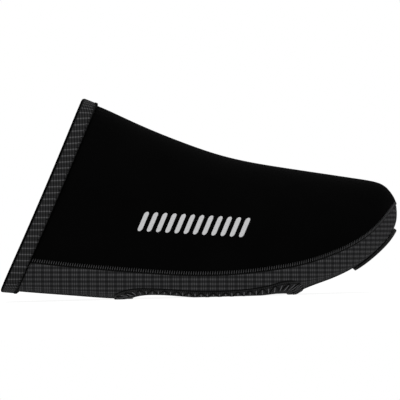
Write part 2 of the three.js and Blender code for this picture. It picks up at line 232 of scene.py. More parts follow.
# %% Directions and offsets
COLLAR_LEAN = math.radians(24.6)
COLLAR_FOOT = 0.5165
COLLAR_BOW = 0.8 * MM
ROLL = math.radians(1.5415)
NOSE_OUT = unit(np.array([1.0, 0.0, NOSE_LEAN]))
NEAR_NOSE = 0.996


def ramp(x, start, stop):
    """0 up to start, 1 from stop on, and a straight line between: (x - start) / (stop - start)."""
    return np.clip((x - start) / (stop - start), 0, 1)


def outward(surface, u, v):
    """The surface's outward direction: the cross product of a small step along and one across,
    turned away from the last's middle, and the nose's own direction where all columns meet."""
    u, v = np.broadcast_arrays(np.asarray(u, float), np.asarray(v, float))
    near, du, dv = np.minimum(u, NEAR_NOSE), 0.003, 0.004
    along = surface(near + du, v) - surface(near - du, v)
    across = surface(near, np.minimum(1, v + dv)) - surface(near, np.maximum(0, v - dv))
    normal = unit(np.cross(along, across))
    middle = np.stack([GUIDE["seam_x"](near), (GUIDE["inner"](near) - GUIDE["outer"](near)) / 2,
                       GUIDE["seam_z"](near)], -1)
    away = np.sum(normal * (surface(near, v) - middle), -1, keepdims=True)
    normal = normal * np.where(away < 0, -1, 1)
    blend = ramp(u, NEAR_NOSE, 1)[..., None]
    return unit(normal * (1 - blend) + NOSE_OUT * blend)


def placed(surface, u, v, offset):
    """The surface moved outwards by an offset, which may differ from point to point."""
    return surface(u, v) + outward(surface, u, v) * np.asarray(offset, float)[..., None]


print("at the nose the last faces", np.round(outward(over, 1, 0.5), 2))

# %% Depth inside the collar


def depth_of(points):
    """How far a point lies inside the collar's leaning, slightly bowed plane."""
    p = points - SHIFT
    level = 2 * p[..., 2] / HEIGHT - 1
    back = p[..., 0] + COLLAR_FOOT * LENGTH
    straight = back * math.cos(COLLAR_LEAN) - p[..., 2] * math.sin(COLLAR_LEAN)
    return straight - COLLAR_BOW * (1 - level**2)


def station_at_depth(surface, v, offset, depth):
    """The u of each column where the offset surface lies that deep, found by halving."""
    low = np.full(np.broadcast(v, offset, depth).shape, -0.08)
    high = np.full(low.shape, 0.4)
    for _ in range(26):
        mid = (low + high) / 2
        deeper = depth_of(placed(surface, mid, v, offset)) < depth
        low, high = np.where(deeper, mid, low), np.where(deeper, high, mid)
    return (low + high) / 2


print("the collar cuts the outer seam at u =", round(float(station_at_depth(over, 0, 0, 0)), 4))

# %% Distances walked


def running(steps, axis):
    """The sum of the steps up to each point, starting from 0."""
    start = np.zeros_like(np.take(steps, [0], axis=axis))
    return np.concatenate([start, np.cumsum(steps, axis=axis)], axis=axis)


def lengths(points, axis):
    """Distance walked along one axis of a grid."""
    return running(np.linalg.norm(np.diff(points, axis=axis), axis=-1), axis)


def seen_lengths(points, axis, shown, low, high):
    """Distance walked as a side view shows it, so that a pattern keeps its pitch there. Of each
    step only the part along the shown axes counts where that part is more than the share high of
    it, and the whole step where it is less than low."""
    step = np.diff(points, axis=axis)
    whole = np.linalg.norm(step, axis=-1)
    part = np.linalg.norm(step[..., shown], axis=-1)
    steep = ramp(part / np.maximum(whole, 1e-9), low, high)
    return running(steep * part + (1 - steep) * whole, axis)


ball_line = over(0.5, np.linspace(0, 1, 200))
print("over the ball of the foot, mm:", round(lengths(ball_line, 0)[-1] / MM, 1))

# %% [markdown]
# ## From a grid to a mesh
# A grid of points becomes quads by joining each point to its neighbours. Where a whole row falls
# on one point, as at the nose, its doubles are merged, so the surface closes there. Patterns
# ride on a UV map measured in millimetres, so a thread has its real width on every piece.

# %% Mesh helpers
WELD, FINE_WELD = 0.02 * MM, 0.01 * MM


def grid_faces(rows, columns, wrap_rows=False, wrap_columns=False):
    """Four corner numbers for each cell of a grid of points, numbered row by row."""
    i = np.arange(rows if wrap_rows else rows - 1)[:, None]
    j = np.arange(columns if wrap_columns else columns - 1)[None, :]
    i2, j2 = (i + 1) % rows, (j + 1) % columns
    quads = [i * columns + j, i2 * columns + j, i2 * columns + j2, i * columns + j2]
    return np.stack([q + 0 * i + 0 * j for q in quads], -1).reshape(-1, 4)


def piece(name, points, faces, uv=None, values=None, merge=None):
    """A mesh object at the origin with smooth faces, its UV map in millimetres and its numbers
    for each point."""
    mesh = bpy.data.meshes.new(name)
    mesh.from_pydata(points.reshape(-1, 3).tolist(), [], faces.tolist())
    if uv is not None:
        corner = np.empty(len(mesh.loops), np.int32)
        mesh.loops.foreach_get("vertex_index", corner)
        layer = mesh.uv_layers.new(name="cloth")
        layer.data.foreach_set("uv", (uv.reshape(-1, 2)[corner] / MM).ravel())
    for key, value in (values or {}).items():
        layer = mesh.attributes.new(key, "FLOAT", "POINT")
        layer.data.foreach_set("value", np.asarray(value, float).ravel())
    mesh.polygons.foreach_set("use_smooth", [True] * len(mesh.polygons))
    mesh.update()
    made = bpy.data.objects.new(name, mesh)
    bpy.context.scene.collection.objects.link(made)
    if merge:
        weld = made.modifiers.new("weld", "WELD")
        weld.merge_threshold = merge
    return made


def wear(made, node, materials):
    """Puts a piece on the body with its materials, and hides the CAD node that it stands in for, if
    any.
    """
    for one in materials:
        made.data.materials.append(one)
    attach(made, "root")
    if node:
        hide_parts(node)
    print(made.name, len(made.data.polygons), "faces")


print("a sheet of 3 by 4 points has", len(grid_faces(3, 4)), "faces")

# %% [markdown]
# ## Materials
# Every colour is given as the sRGB hex value that a picture shows, and turned to linear light,
# which is what the shader works in. One function adds a node with its settings and links.

# %% Colours and nodes


def linear(hex_colour):
    """sRGB to linear: divide by 12.92 near black, else ((c + 0.055) / 1.055) to the power 2.4."""
    c = np.array([int(hex_colour[k:k + 2], 16) for k in (0, 2, 4)]) / 255
    return (*np.where(c <= 0.04045, c / 12.92, ((c + 0.055) / 1.055)**2.4), 1.0)


def add(tree, kind, links=None, **settings):
    """Adds a node, sets what it has, and gives each input its value, or the socket or the node
    that it reads."""
    made = tree.nodes.new("ShaderNode" + kind)
    for key, value in settings.items():
        setattr(made, key, value)
    for key, value in (links or {}).items():
        if isinstance(value, bpy.types.Node):
            value = value.outputs[0]
        if isinstance(value, bpy.types.NodeSocket):
            tree.links.new(value, made.inputs[key])
        else:
            made.inputs[key].default_value = value
    return made


def new_material(name):
    """An empty material, its node tree, and the socket with each point's place on the piece in
    metres, which every grain and noise reads."""
    made = bpy.data.materials.new(name)
    made.use_nodes = True
    made.node_tree.nodes.clear()
    place = add(made.node_tree, "TexCoord")
    return made, made.node_tree, place.outputs["Object"]


def finish(tree, share, dark, light, height, strength, depth, roughness, gloss):
    """The end of every cloth, thread and rubber: a tone from dark to light by the share, a relief
    whose depth is in metres, and a shader. Dark is a hex value or another tone's socket."""
    dark = linear(dark) if isinstance(dark, str) else dark
    tone = add(tree, "Mix", {0: share, 6: dark, 7: linear(light)}, data_type="RGBA")
    bump = add(tree, "Bump", {"Strength": strength, "Distance": depth, "Height": height})
    shader = add(tree, "BsdfPrincipled", {
        "Base Color": tone.outputs[2], "Roughness": roughness, "Specular IOR Level": gloss,
        "Normal": bump,
    })
    add(tree, "OutputMaterial", {"Surface": shader})


def cloth_map(tree):
    """The piece's own map in millimetres: the socket of its first number and of its second."""
    uv = add(tree, "UVMap", uv_map="cloth")
    split = add(tree, "SeparateXYZ", {0: uv})
    return split.outputs[0], split.outputs[1]


def stripes(tree, along, pitch, sharp=1.0):
    """A row of soft stripes: half of 1 + cos(2 pi x / pitch), to the power sharp."""
    turn = add(tree, "Math", {0: along, 1: 2 * math.pi / pitch}, operation="MULTIPLY")
    wave = add(tree, "Math", {0: turn}, operation="COSINE")
    half = add(tree, "Math", {0: wave, 1: 0.5, 2: 0.5}, operation="MULTIPLY_ADD")
    return add(tree, "Math", {0: half, 1: sharp}, operation="POWER")


print("the hex value 808080 is", round(float(linear("808080")[0]), 3), "in linear light")

# %% [markdown]
# ### Laminate
# The upper is foam with a close black jersey glued on. Its nap gives next to no light back. A
# picture of cloth could be wrapped round it, but two rows of stripes multiplied give the same
# knit at any size. The real knit is 0.5 mm, drawn at 0.9 mm so that it can show.

# %% Jersey laminate of the upper
KNIT = 0.9


def upper_laminate():
    """Crossed stripes for the knit's relief, and a slow noise between two near blacks."""
    made, tree, place = new_material("black_jersey_laminate")
    along, across = cloth_map(tree)
    rib, loop = stripes(tree, along, KNIT), stripes(tree, across, KNIT)
    knit = add(tree, "Math", {0: rib, 1: loop}, operation="MULTIPLY")
    cloud = add(tree, "TexNoise", {"Vector": place, "Scale": 55.0, "Detail": 3.0})
    finish(tree, cloud, "030303", "050505", knit, 0.25, 0.00008, 0.85, 0.004)
    return made


JERSEY = upper_laminate()
print("made", JERSEY.name)

# %% [markdown]
# ### Coated weave
# The sole panel is woven nylon with a thin matt coat: dark grey with light rows. On the side
# walls it reads the panel's own map, underneath the floor plan, so its rows run level on both.
# Along the crease, where the panel turns under, the cloth is painted dark as shade.

# %% Coated weave of the sole panel
WEAVE_ROW, WEAVE_CORD, WEAVE_THREAD = 2.07, 4.2, 1.05


def weave_height(tree, x, y):
    """The sole cloth's face: light cross rows, cut by a sunk cord every 4.2 mm and by fine
    threads. 0 is the ground, 1 the top of a thread. The pitches, in mm, are the photo's."""
    row = stripes(tree, y, WEAVE_ROW, 1.6)
    cord = stripes(tree, x, WEAVE_CORD, 24.0)
    thread = stripes(tree, x, WEAVE_THREAD, 0.8)
    lit = add(tree, "Math", {0: thread, 1: 0.80, 2: 0.20}, operation="MULTIPLY_ADD")
    base = add(tree, "Math", {0: row, 1: 0.72, 2: 0.28}, operation="MULTIPLY_ADD")
    face = add(tree, "Math", {0: base, 1: lit}, operation="MULTIPLY")
    cut = add(tree, "Math", {0: cord, 1: -0.75, 2: 1.0}, operation="MULTIPLY_ADD")
    return add(tree, "Math", {0: face, 1: cut}, operation="MULTIPLY")


def sole_weave():
    """The weave's height on each map, mixed by the number beneath, made uneven by up to a quarter
    and darkened along the crease by painted shade."""
    made, tree, place = new_material("coated_nylon_weave")
    plan_mm = add(tree, "VectorMath", {0: place, 3: 1 / MM}, operation="SCALE")
    plan = add(tree, "SeparateXYZ", {0: plan_mm})
    wall_height = weave_height(tree, *cloth_map(tree))
    plan_height = weave_height(tree, plan.outputs[0], plan.outputs[1])
    beneath = add(tree, "Attribute", attribute_name="beneath").outputs["Fac"]
    height = add(tree, "Mix", {0: beneath, 2: wall_height, 3: plan_height})
    cloud = add(tree, "TexNoise", {"Vector": place, "Scale": 900.0, "Detail": 2.0})
    uneven = add(tree, "Math", {0: cloud, 1: 0.5, 2: 0.75}, operation="MULTIPLY_ADD")
    worn = add(tree, "Math", {0: height, 1: uneven}, operation="MULTIPLY")
    # Painted shade: the cloth is darkened by up to nine tenths where the panel turns under.
    painted_crease_shade = add(tree, "Attribute", attribute_name="painted_crease_shade").outputs["Fac"]
    unshaded = add(tree, "Math", {0: painted_crease_shade, 1: -0.9, 2: 1.0}, operation="MULTIPLY_ADD")
    shown = add(tree, "Math", {0: worn, 1: unshaded}, operation="MULTIPLY")
    finish(tree, shown, "0b0b0c", "464647", height, 0.6, 0.0002, 0.75, 0.005)
    return made


WEAVE = sole_weave()
print("made", WEAVE.name)

# %% [markdown]
# ### Knitted tapes
# The cuff is knitted elastic, with light picks over a dark ground and three fine ribs to a pick.
# The binding is plain knitted nylon. Along their folded or rolled edges both are painted black as
# shade, so a number on each point says where the tape lies flat.

# %% Tapes of the cuff and the binding
PICK, FINE_RIB, RIB = 2.81, 0.94, 1.2
WALE, COURSE = 0.9, 1.1


def with_painted_fold_shade(tree, height):
    """The height times the number that is 0 on a tape's edges and 1 on its face, so that the
    folded edges take the dark tone as painted shade.
    """
    flat = add(tree, "Attribute", attribute_name="face").outputs["Fac"]
    return add(tree, "Math", {0: height, 1: flat}, operation="MULTIPLY")


def ribbed_elastic():
    """A ground with fine ribs, plus narrow picks, times the ribs along the tape."""
    made, tree, _ = new_material("ribbed_knit_elastic")
    along, across = cloth_map(tree)
    pick, fine = stripes(tree, across, PICK, 9.0), stripes(tree, across, FINE_RIB)
    rib = stripes(tree, along, RIB, 0.8)
    lit = add(tree, "Math", {0: rib, 1: 0.75, 2: 0.25}, operation="MULTIPLY_ADD")
    ground = add(tree, "Math", {0: fine, 1: 0.08, 2: 0.20}, operation="MULTIPLY_ADD")
    woven = add(tree, "Math", {0: pick, 1: 0.72, 2: ground}, operation="MULTIPLY_ADD")
    face = add(tree, "Math", {0: woven, 1: lit}, operation="MULTIPLY")
    # Painted shade: the folded edges of the cuff take the dark tone.
    finish(tree, with_painted_fold_shade(tree, face), "020202", "535354", face, 0.6, 0.0002, 0.8, 0.005)
    return made


def binding_knit():
    """Crossed stripes, shown where the tape lies flat, with painted shade on its rolled edges."""
    made, tree, _ = new_material("knitted_binding_tape")
    along, across = cloth_map(tree)
    wale, course = stripes(tree, along, WALE), stripes(tree, across, COURSE)
    knit = add(tree, "Math", {0: wale, 1: course}, operation="MULTIPLY")
    finish(tree, with_painted_fold_shade(tree, knit), "050505", "303031", knit, 0.6, 0.0002, 0.85, 0.06)
    return made


ELASTIC, TAPE = ribbed_elastic(), binding_knit()
print("made", ELASTIC.name, "and", TAPE.name)

# %% [markdown]
# ### Fleece, threads, rubber and film
# The lining is brushed fleece and the threads are spun polyester, so both are a fine noise
# between two tones. The patch is moulded natural rubber, a little greyer where it is rubbed. The
# reflective film is a coat of glass beads 0.05 mm wide, drawn at 0.4 mm so that they can show.

# %% Lining, threads, rubber and film


def napped(name, dark, light, scale, detail, *end):
    """A matt cloth or thread: a noise of so many grains a metre between two tones. The last four
    numbers are those of its end: strength, depth, roughness and gloss."""
    made, tree, place = new_material(name)
    grain = add(tree, "TexNoise", {"Vector": place, "Scale": scale, "Detail": detail})
    finish(tree, grain, dark, light, grain, *end)
    return made


def spun_thread(name, dark, light):
    """A thread with a grain of 0.4 mm."""
    return napped(name, dark, light, 2500.0, 3.0, 0.5, 0.00005, 0.85, 0.06)


def patch_rubber():
    """A fine grain of two near blacks, and grey where a coarser noise is high."""
    made, tree, place = new_material("moulded_rubber")
    grain = add(tree, "TexNoise", {"Vector": place, "Scale": 1400.0, "Detail": 2.0})
    fresh = add(tree, "Mix", {0: grain, 6: linear("060606"), 7: linear("0e0e0e")}, data_type="RGBA")
    scuff = add(tree, "TexNoise", {"Vector": place, "Scale": 260.0, "Detail": 5.0, "Roughness": 0.7})
    rubbed = add(tree, "MapRange", {0: scuff, 1: 0.55, 2: 0.75, 4: 0.6})
    finish(tree, rubbed, fresh.outputs[2], "222222", grain, 0.3, 0.00006, 0.5, 0.10)
    return made


def reflective_film():
    """Round cells, a little darker towards their edges."""
    made, tree, place = new_material("glass_bead_reflective_film")
    beads = add(tree, "TexVoronoi", {"Vector": place, "Scale": 2600.0})
    finish(tree, beads, "bdbdbe", "a0a0a1", beads, 0.3, 0.00004, 0.45, 0.4)
    return made


RUBBER, FILM = patch_rubber(), reflective_film()
LINING = napped("brushed_fleece_lining", "161617", "2c2c2e", 900.0, 4.0, 0.7, 0.0003, 0.95, 0.1)
THREAD = spun_thread("grey_overlock_thread", "262627", "464647")
LOOPS = spun_thread("grey_cover_stitch_thread", "38383a", "666668")
BLACK_THREAD = spun_thread("black_looper_thread", "050505", "0c0c0c")
print("materials:", len(bpy.data.materials))

# %% [markdown]
# ## The upper
# One shell of padded laminate. Stitching pulls its lower edge in, so the cloth dips towards the
# seam and swells between stitches, and the elastic cuff gathers it in low folds at the collar.
# These are added to the offset from the last, and Solidify then gives the sheet its 2 mm wall.

# %% Upper
SHEET_EDGE, CROWD = 1.0 * MM, 1.3
SEAM = {"hollow": 1.3 * MM, "long": 7.3 * MM, "short": 4.1 * MM, "swells": 0.8 * MM, "dies": 3.2 * MM}
GATHER = {"height": 0.10 * MM, "pitch": 5.2 * MM, "place": 9 * MM, "reach": 5 * MM}
STILL_FROM = 0.95


def cloth_sheet(surface, count):
    """A square grid on the last from the edge inside the cuff to the nose: rows at growing u,
    closer together towards the nose, and columns from the outer seam round to the inner one. It
    comes with its points, the way walked round it, and the distance from the nearer seam."""
    v = np.linspace(0, 1, count)
    start = station_at_depth(surface, v, 0, SHEET_EDGE)
    share = 1 - (1 - np.linspace(0, 1, count)[:, None])**CROWD
    u = start[None, :] + (1 - start[None, :]) * share
    v = np.broadcast_to(v[None, :], u.shape)
    smooth = surface(u, v)
    round_it = lengths(smooth, 1)
    return u, v, smooth, round_it, np.minimum(round_it, round_it[:, -1:] - round_it)


def seam_pull(from_seam, along, depth, pucker):
    """How far stitching draws cloth in, at a distance from the seam: a hollow with the shape of
    a bell curve, and puckers, the sum of a long and a short wave. They swell from nothing at the
    seam and die away within a few millimetres."""
    hollow = -depth * np.exp(-(from_seam / SEAM["hollow"])**2)
    turn = 2 * math.pi * along
    waves = np.sin(turn / SEAM["long"]) + 0.6 * np.sin(turn / SEAM["short"] + 1)
    swell = np.exp(-from_seam / SEAM["dies"]) * (1 - np.exp(-from_seam / SEAM["swells"]))
    return hollow + pucker * waves * swell


def solidify(made, wall, inside=0):
    """Gives a sheet its wall, inwards from the face that shows."""
    wall_made = made.modifiers.new("wall", "SOLIDIFY")
    wall_made.thickness = wall
    wall_made.offset = -1
    wall_made.use_even_offset = True
    wall_made.material_offset = inside


def make_upper():
    """The upper's sheet over the foot, with its seam pull and the cuff's gathers."""
    u, v, smooth, round_it, from_seam = cloth_sheet(over, 150)
    offset = seam_pull(from_seam, lengths(smooth[:, :1], 0), 0.35 * MM, 0.07 * MM)
    bell = np.exp(-((depth_of(smooth) - GATHER["place"]) / GATHER["reach"])**2)
    gather = GATHER["height"] * np.sin(2 * math.pi * round_it / GATHER["pitch"]) * bell
    points = placed(over, u, v, (offset + gather) * ramp(u, 1, STILL_FROM))
    uv = np.stack([lengths(smooth, 0), round_it], -1)
    made = piece("upper_shell", points, grid_faces(*u.shape), uv, merge=WELD)
    solidify(made, UPPER_WALL, 1)
    return made


wear(make_upper(), "upper", [JERSEY, LINING])

# %% [markdown]
# ## The sole panel
# The same cloth wraps the sides, the toe and the floor of the cover. Underneath it is cut away
# for the cleat, and the binding covers that cut edge, so the faces there are simply left out.
# The weave needs two maps: round the walls its rows keep their height, and underneath they
# follow the floor plan. A number for each point says how far it lies beneath.

# %% Cleat opening
OPENING = {"length": 70.4 * MM, "width": BALL - 32 * MM, "centre": 4.4 * MM, "round": 9 * MM}
BINDING = {"back": 8.5 * MM, "front": 7.0 * MM, "side": 9.4 * MM, "corner": 2.6 * MM,
           "proud": 0.75 * MM, "tip": -0.2 * MM, "thinned": 5.0 * MM, "wall": 2.55 * MM,
           "lowest": 0.12 * MM}
CUT = np.array([OPENING["centre"] - OPENING["length"] / 2, OPENING["centre"] + OPENING["length"] / 2,
                OPENING["width"] / 2, OPENING["round"]])
RIM = CUT + [-BINDING["back"], BINDING["front"], BINDING["side"], BINDING["corner"]]
HEM = 2.2 * MM


def rounded(p, back, front, half, radius):
    """Signed distance in plan from a rectangle with rounded corners, negative inside it."""
    middle, reach = (back + front) / 2, (front - back) / 2
    q = np.stack([np.abs(p[..., 0] - middle) - reach + radius, np.abs(p[..., 1]) - half + radius], -1)
    outside = np.linalg.norm(np.maximum(q, 0), axis=-1)
    return outside + np.minimum(q.max(-1), 0) - radius


print("cleat opening, mm:", np.round(CUT / MM, 1), "binding's outer edge:", np.round(RIM / MM, 1))

# %% Map of the walls
BALL_STATION, FRONT_FROM, FRONT_TO = 0.62, 0.86, 0.97
WALL_TURNS = (0.16, 0.36)


def round_nose(outer_side, inner_side):
    """One line from the outer side's values round the nose and back by the inner side's."""
    return np.concatenate([outer_side, inner_side[-2::-1]])


def wall_map(points, edge, u):
    """Where the weave lies on the walls. Its first number is the way walked round the seam from
    the nose, negative on the outer side. It comes from x along the sides and from y round the
    front, with a smooth step between them, 3 t^2 - 2 t^3. The second number is the height on
    the steep part of the wall, and the way walked where it turns under. Both are turned by the
    drawing's roll."""
    x, y, z = np.moveaxis(points, -1, 0)
    outer_half = np.arange(points.shape[1])[None] < points.shape[1] / 2
    edge_x = np.where(outer_half, points[:, :1, 0], points[:, -1:, 0])
    to_nose = edge[-1:] - edge - (x - edge_x)
    by_x = np.where(outer_half, -to_nose, to_nose)
    front = u[:, 0] > BALL_STATION
    to_edge = (edge - edge[-1:])[front]
    by_y = np.interp(y, round_nose(y[front, 0], y[front, -1]),
                     round_nose(to_edge[:, 0], -to_edge[:, -1]))
    t = ramp(u, FRONT_FROM, FRONT_TO)
    share = 3 * t**2 - 2 * t**3
    way = by_x * (1 - share) + by_y * share
    down = seen_lengths(points, 1, [2], *WALL_TURNS)
    height = np.where(outer_half, z[:, :1] - down, z[:, -1:] - down[:, -1:] + down)
    return np.stack([way - z * math.sin(ROLL), height + x * math.sin(ROLL)], -1)


# %% Sole panel


def make_sole():
    """The sole panel's sheet, less the faces further inside the binding's outline than its hem.
    The floor plan's map shows where the panel hardly faces sideways, and the painted shade along the
    crease follows a bell curve round a slight sideways turn. Both end where the panel stops facing
    down."""
    u, v, smooth, _, from_seam = cloth_sheet(under, 170)
    edge = np.where(v < 0.5, lengths(smooth[:, :1], 0), lengths(smooth[:, -1:], 0))
    pull = seam_pull(from_seam, edge, 0.30 * MM, 0.05 * MM)
    points = placed(under, u, v, pull * ramp(u, 1, STILL_FROM))
    facing = outward(under, u, v)
    sideways, downwards = np.abs(facing[..., 1]), -facing[..., 2]
    beneath = ramp(sideways, 0.12, 0.05) * ramp(downwards, 0.3, 0.5)
    # Painted shade: a dark line where the panel turns under, darkest at a slight sideways turn.
    painted_crease_shade = np.exp(-((sideways - 0.08) / 0.06)**2) * ramp(downwards, 0.5, 0.8)
    uv = wall_map(smooth, edge, u)
    faces = grid_faces(*u.shape)
    inside = rounded(smooth - SHIFT, *RIM)
    kept = faces[(inside.reshape(-1)[faces] > -HEM).all(1)][:, ::-1]
    used = np.unique(kept)
    renumber = np.zeros(u.size, int)
    renumber[used] = np.arange(len(used))
    made = piece("sole_panel", points.reshape(-1, 3)[used], renumber[kept], uv.reshape(-1, 2)[used],
                 {"beneath": beneath.reshape(-1)[used], "painted_crease_shade": painted_crease_shade.reshape(-1)[used]},
                 merge=WELD)
    solidify(made, SOLE_WALL, 1)
    return made


wear(make_sole(), "sole", [WEAVE, LINING])

# %% [markdown]
# ## The binding round the cleat opening
# A knitted tape is folded over the cut edge. It is a rounded strip carried round the opening:
# the outline gives a place in plan, and the surface of the last gives the height there. The
# floor presses it flat where it rests, with its threads under it.

# %% Outlines of the tape


def outline(back, front, half, radius, count):
    """Points of a rectangle with rounded corners: four arcs of count points, and between them
    straight sides of four times as many, so that two such outlines match point by point."""
    corners = [(back + radius, half - radius), (front - radius, half - radius),
               (front - radius, radius - half), (back + radius, radius - half)]
    turn = np.linspace(0, math.pi / 2, count)
    arcs = [np.stack([cx + radius * np.cos(a0 - turn), cy + radius * np.sin(a0 - turn)], -1)
            for (cx, cy), a0 in zip(corners, (math.pi, math.pi / 2, 0, -math.pi / 2))]
    sides = []
    for k, one in enumerate(arcs):
        following = arcs[(k + 1) % 4]
        share = np.linspace(0, 1, 4 * count)[1:-1, None]
        sides += [one, one[-1] * (1 - share) + following[0] * share]
    return np.concatenate(sides)


def opening_edges(count):
    """Places evenly spaced round the opening: x and y on the opening's edge, then x and y on the
    binding's outer edge."""
    lines = [outline(*line, 14) + [SHIFT[0], 0] for line in (CUT, RIM)]
    both = np.concatenate(lines, 1)
    both = np.concatenate([both, both[:1]])
    walked = lengths((both[:, :2] + both[:, 2:]) / 2, 0)
    places = np.linspace(0, walked[-1], count, endpoint=False)
    return np.stack([np.interp(places, walked, both[:, k]) for k in range(4)], -1), walked[-1]


print("round the opening, mm:", round(opening_edges(8)[1] / MM))

# %% Places on the last


def find(surface, wanted, axes, u, v):
    """The u and v of places given by two of their coordinates. Each Newton step solves the two
    equations slope along * du + slope across * dv = what is missing."""
    step, longest = 1e-4, 0.03
    for _ in range(14):
        here = surface(u, v)[..., axes]
        along = (surface(u + step, v)[..., axes] - here) / step
        across = (surface(u, v + step)[..., axes] - here) / step
        miss = wanted - here
        size = along[..., 0] * across[..., 1] - along[..., 1] * across[..., 0]
        du = (miss[..., 0] * across[..., 1] - miss[..., 1] * across[..., 0]) / size
        dv = (along[..., 0] * miss[..., 1] - along[..., 1] * miss[..., 0]) / size
        u = np.clip(u + np.clip(du, -longest, longest), 0, 0.99)
        v = np.clip(v + np.clip(dv, -longest, longest), 0.02, 0.98)
    return u, v


def tape_face(plan):
    """How far the tape's face stands out from the last at places in plan: level, then falling in
    a straight line before the front edge, where the tape sinks into the cloth."""
    front = RIM[1] + SHIFT[0]
    share = ramp(plan[..., 0], front - BINDING["thinned"], front)
    return BINDING["proud"] * (1 - share) + BINDING["tip"] * share


def laid_under(plan, offset, lowest):
    """Points under the cover at places in plan, moved out from the last by the offset, and the
    direction out. Where the floor presses, they stay at the lowest height."""
    u = np.interp(plan[..., 0], SECTIONS[:, 5] * LENGTH + SHIFT[0], AT)
    v = np.clip(0.5 + ROUND_SHARE * plan[..., 1] / GUIDE["outer"](u), 0.05, 0.95)
    u, v = find(under, plan, [0, 1], u, v)
    points = placed(under, u, v, offset + 0 * u)
    points[..., 2] = np.maximum(points[..., 2], lowest)
    return points, outward(under, u, v)


lowest_point = laid_under(np.array([[0.0, 0.0]]), 0, -1)[0][0]
print("the last's floor at the frame's origin, mm:", round(lowest_point[2] / MM, 2))

# %% Binding tape


def closed_strip(name, points, first, second, face):
    """A closed strip of rows of points, with its map's two numbers and its number face. The first
    row comes once more at the end, so that the map doesn't run backwards in the last row of
    faces, and the two rows are merged."""
    return piece(name, points, grid_faces(*points.shape[:2], False, True),
                 np.stack([first, second], -1), {"face": face}, merge=FINE_WELD)


def make_binding():
    """A flattened oval of 28 points, with straight faces and round edges, carried round the
    opening. An oval is flatter the lower the power of its cosine and sine."""
    turn = np.linspace(0, 2 * math.pi, 28, endpoint=False)
    power = 0.42
    share = 0.5 + 0.5 * np.sign(np.cos(turn)) * np.abs(np.cos(turn))**power
    across_wall = np.sign(np.sin(turn)) * np.abs(np.sin(turn))**power - 1
    edges, _ = opening_edges(320)
    plan = edges[:, None, :2] * (1 - share[:, None]) + edges[:, None, 2:] * share[:, None]
    offset = tape_face(plan) + BINDING["wall"] / 2 * across_wall
    points, _ = laid_under(plan, offset, BINDING["lowest"])
    points = np.concatenate([points, points[:1]])
    along = np.broadcast_to(lengths(points[:, :1], 0), points.shape[:2])
    across = share * BINDING["side"] + 0 * along
    # 0 on the rolled edges, which are painted dark as shade, and 1 where the tape lies flat.
    face = ramp(np.abs(share - 0.5), 0.5, 0.42) + 0 * along
    return closed_strip("cleat_binding_tape", points, along, across, face)


wear(make_binding(), "cleat_binding", [TAPE])

# %% [markdown]
# ## Cuff
# Elastic tape is folded over the collar's edge, so its section is a U. The section is carried
# round the collar, over the foot and then under it, with every point placed at its own depth
# inside the collar's plane, so both edges of the tape stay straight.

# %% Cuff
CUFF = {"width": 7.6 * MM, "leg": 0.7 * MM, "round": 1.3 * MM, "tip": 0.35 * MM}
CUFF_TURNS, PASSES = (0.35, 0.60), 12


def cuff_profile():
    """Depth and offset round the U: the outer leg, two round corners at the fold, the inner leg
    with its tip, back along the inside of the fold, and the outer leg's tip."""
    out = GAP + CUFF["leg"]
    deep = -(UPPER_WALL + GAP + CUFF["leg"])
    r = CUFF["round"]
    turn, tip = np.linspace(0, math.pi / 2, 6), CUFF["tip"]
    outer_leg = np.stack([np.linspace(CUFF["width"] - tip, r, 14), np.full(14, out)], -1)
    first = np.stack([r - r * np.sin(turn), out - r + r * np.cos(turn)], -1)
    second = np.stack([r - r * np.cos(turn), deep + r - r * np.sin(turn)], -1)
    inner_leg = np.stack([np.linspace(r, CUFF["width"] - tip, 8), np.full(8, deep)], -1)
    inner_tip = [[CUFF["width"], deep + tip], [CUFF["width"], deep + CUFF["leg"] - tip * 0.5],
                 [CUFF["width"] - tip, deep + CUFF["leg"]]]
    fold = [[CUFF["leg"] + tip, deep + CUFF["leg"]], [CUFF["leg"], deep + CUFF["leg"] + tip],
            [CUFF["leg"], GAP - tip], [CUFF["leg"] + tip, GAP]]
    outer_tip = [[CUFF["width"] - tip, GAP], [CUFF["width"], GAP + tip * 0.5],
                 [CUFF["width"], out - tip]]
    parts = [outer_leg, first[1:], second, inner_leg[1:], inner_tip, fold, outer_tip]
    return np.concatenate(parts)


def round_collar(count_over, count_under):
    """The columns of a ring round the collar: over the foot from the outer seam, then back under
    it."""
    return (over, np.linspace(0, 1, count_over)), (under, np.linspace(1, 0, count_under)[1:-1])


